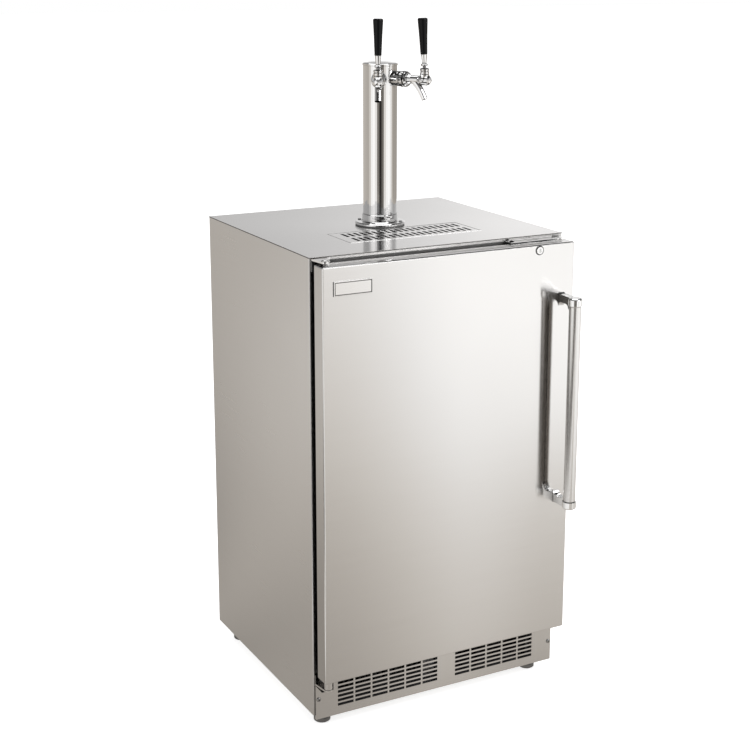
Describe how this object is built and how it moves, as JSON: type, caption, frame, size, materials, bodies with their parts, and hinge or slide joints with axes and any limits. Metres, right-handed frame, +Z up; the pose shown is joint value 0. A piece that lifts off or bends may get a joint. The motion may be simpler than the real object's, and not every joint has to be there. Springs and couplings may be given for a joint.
{
  "type": "two-tap undercounter kegerator",
  "caption": "Stainless undercounter kegerator with a left-hung door, a draft tower with two faucets, a drip tray in the top, and a louvred kick panel.",
  "frame": {"origin": "on the floor under the middle of the whole part, at the feet's undersides", "axes": "+X to the right seen from the front, +Y towards the back, +Z up; the door faces -Y"},
  "size_m": [0.514, 0.5594, 1.2628],
  "materials": {
    "brushed_steel": "fine brushed stainless steel, warm grey",
    "galvanised_steel": "galvanised sheet, dull",
    "polished_chrome": "mirror-polished chrome plate",
    "liner_plastic": "satin white sheet plastic",
    "insulation_foam": "cast foam, matt cream",
    "grey_rubber": "matt dark grey rubber",
    "black_plastic": "glossy black",
    "black_enamel": "satin black enamel",
    "fin_aluminium": "bare aluminium fins"
  },
  "bodies": {
    "cabinet": {"side_panel_left": "brushed_steel", "side_panel_right": "brushed_steel", "top_panel": "brushed_steel", "drip_tray_pan": "brushed_steel", "drip_tray_grille": "brushed_steel", "kick_grille": "brushed_steel", "hinge_plate_upper": "brushed_steel", "hinge_plate_lower": "brushed_steel", "hinge_pin_upper": "brushed_steel", "hinge_pin_lower": "brushed_steel", "shank_left": "brushed_steel", "shank_right": "brushed_steel", "back_panel": "galvanised_steel", "base_pan": "galvanised_steel", "machine_deck": "galvanised_steel", "keg_floor_plate": "galvanised_steel", "lock_strike": "polished_chrome", "tower_flange": "polished_chrome", "tower_column": "polished_chrome", "tower_cap": "polished_chrome", "shank_collar_left": "polished_chrome", "coupling_nut_left": "polished_chrome", "faucet_body_left": "polished_chrome", "faucet_bonnet_left": "polished_chrome", "shank_collar_right": "polished_chrome", "coupling_nut_right": "polished_chrome", "faucet_body_right": "polished_chrome", "faucet_bonnet_right": "polished_chrome", "inner_liner": "liner_plastic", "liner_ceiling": "liner_plastic", "evaporator_cover": "liner_plastic", "thermostat_housing": "liner_plastic", "cabinet_insulation": "insulation_foam", "tower_gasket": "grey_rubber", "mains_gland": "grey_rubber", "condenser_fan_mount": "black_plastic", "compressor": "black_enamel", "condenser_coil": "fin_aluminium"},
    "door": {"door_skin": "brushed_steel", "door_insulation": "insulation_foam", "door_liner": "liner_plastic", "door_gasket": "grey_rubber", "handle_bar": "brushed_steel", "handle_bracket_lower": "polished_chrome", "handle_bracket_upper": "polished_chrome", "lock_barrel": "polished_chrome"},
    "door_lock": {"lock_plug": "polished_chrome"},
    "tap_left": {"tap_lever_left": "polished_chrome", "tap_handle_left": "black_plastic"},
    "valve_left": {"faucet_shaft_left": "brushed_steel"},
    "tap_right": {"tap_lever_right": "polished_chrome", "tap_handle_right": "black_plastic"},
    "valve_right": {"faucet_shaft_right": "brushed_steel"},
    "foot_front_left": {"foot_front_left": "galvanised_steel"},
    "foot_front_right": {"foot_front_right": "galvanised_steel"},
    "foot_rear_left": {"foot_rear_left": "galvanised_steel"},
    "foot_rear_right": {"foot_rear_right": "galvanised_steel"},
    "condenser_fan": {"condenser_fan": "black_plastic"},
    "evaporator_fan": {"evaporator_fan": "black_plastic"},
    "thermostat_dial": {"thermostat_knob": "black_plastic"}
  },
  "joints": [
    {"name": "door_hinge", "type": "hinge", "parent": "cabinet", "child": "door", "pos_m": [-0.2415, -0.20725, 0.489], "axis": [0, 0, -1], "range_deg": [0, 115]},
    {"name": "door_lock_turn", "type": "hinge", "parent": "door", "child": "door_lock", "pos_m": [0.1785, -0.21315, 0.8572], "axis": [0, -1, 0], "range_deg": [0, 90]},
    {"name": "tap_pull_left", "type": "hinge", "parent": "cabinet", "child": "tap_left", "pos_m": [-0.04785, -0.02813, 1.167], "axis": [0.866, -0.5, 0], "range_deg": [0, 32]},
    {"name": "valve_slide_left", "type": "slide", "parent": "cabinet", "child": "valve_left", "axis": [0.5, 0.866, 0], "range_m": [0, 0.0091]},
    {"name": "tap_pull_right", "type": "hinge", "parent": "cabinet", "child": "tap_right", "pos_m": [0.04785, -0.02813, 1.167], "axis": [0.866, 0.5, 0], "range_deg": [0, 32]},
    {"name": "valve_slide_right", "type": "slide", "parent": "cabinet", "child": "valve_right", "axis": [-0.5, 0.866, 0], "range_m": [0, 0.0091]},
    {"name": "foot_level_front_left", "type": "slide", "parent": "cabinet", "child": "foot_front_left", "axis": [0, 0, -1], "range_m": [0, 0.015]},
    {"name": "foot_level_front_right", "type": "slide", "parent": "cabinet", "child": "foot_front_right", "axis": [0, 0, -1], "range_m": [0, 0.015]},
    {"name": "foot_level_rear_left", "type": "slide", "parent": "cabinet", "child": "foot_rear_left", "axis": [0, 0, -1], "range_m": [0, 0.015]},
    {"name": "foot_level_rear_right", "type": "slide", "parent": "cabinet", "child": "foot_rear_right", "axis": [0, 0, -1], "range_m": [0, 0.015]},
    {"name": "condenser_fan_spin", "type": "hinge", "parent": "cabinet", "child": "condenser_fan", "pos_m": [-0.12, 0.15685, 0.1025], "axis": [0, -1, 0], "continuous": true},
    {"name": "evaporator_fan_spin", "type": "hinge", "parent": "cabinet", "child": "evaporator_fan", "pos_m": [0, 0.21685, 0.715], "axis": [0, -1, 0], "continuous": true},
    {"name": "thermostat_turn", "type": "hinge", "parent": "cabinet", "child": "thermostat_dial", "pos_m": [0.12, -0.14315, 0.8117], "axis": [0, -1, 0], "range_deg": [0, 270]}
  ],
  "couplings": [
    {"joint": "valve_slide_left", "follows": "tap_pull_left", "m_per_rad": 0.016157},
    {"joint": "valve_slide_right", "follows": "tap_pull_right", "m_per_rad": 0.016157}
  ]
}
